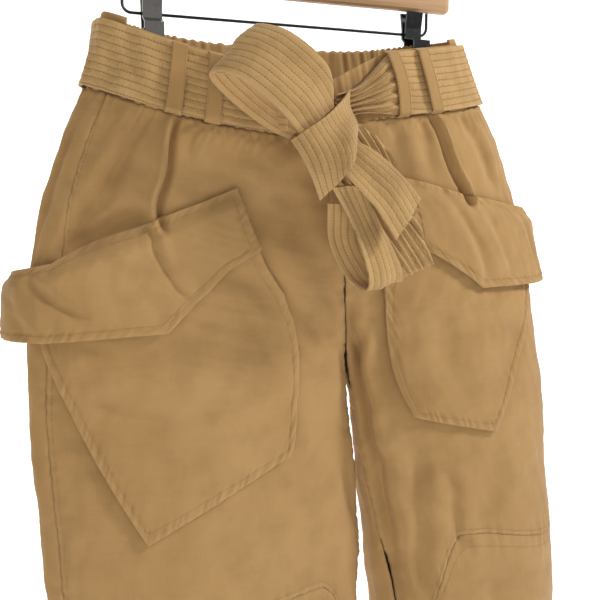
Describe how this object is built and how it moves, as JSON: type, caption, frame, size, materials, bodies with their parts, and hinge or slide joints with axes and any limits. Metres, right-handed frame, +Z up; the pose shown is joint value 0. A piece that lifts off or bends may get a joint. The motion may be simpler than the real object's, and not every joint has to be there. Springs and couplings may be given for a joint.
{
  "type": "paperbag waist trousers on a clip hanger",
  "caption": "Wide cropped trousers with a sash tied in a bow and slanted flap pockets, hanging from a wooden clip hanger.",
  "frame": {"origin": "the top of the inside of the hanger's hook, where a rail or a hand holds it", "axes": "+Z up, the front faces -Y, +X to the right as seen from the front"},
  "size_m": [0.5894, 0.1913, 1.134],
  "materials": {
    "cloth": "washed plain cotton in camel",
    "sash": "washed plain cotton with close rows of stitching",
    "wood": "clear satin lacquer on pale wood",
    "wire": "black paint",
    "steel": "bright plated steel"
  },
  "bodies": {
    "root": {"back_left": "cloth", "back_right": "cloth", "back_waistband": "cloth", "belt_back": "sash", "belt_left": "sash", "belt_right": "sash", "bow_knot": "sash", "bow_loop_down": "sash", "bow_loop_up": "sash", "bow_tail_back": "sash", "bow_tail_front": "sash", "carrier_1": "cloth", "carrier_2": "cloth", "carrier_3": "cloth", "carrier_4": "cloth", "carrier_5": "cloth", "carrier_6": "cloth", "carrier_7": "cloth", "clip_left_back": "steel", "clip_left_front": "steel", "clip_right_back": "wire", "clip_right_front": "wire", "flap_left": "cloth", "flap_right": "cloth", "front_left": "cloth", "front_right": "cloth", "front_waistband": "cloth", "hanger_bar": "wood", "hanger_hook": "steel", "hanger_wire": "wire", "pocket_left": "cloth", "pocket_right": "cloth", "shin_left": "cloth", "shin_right": "cloth"}
  },
  "joints": []
}
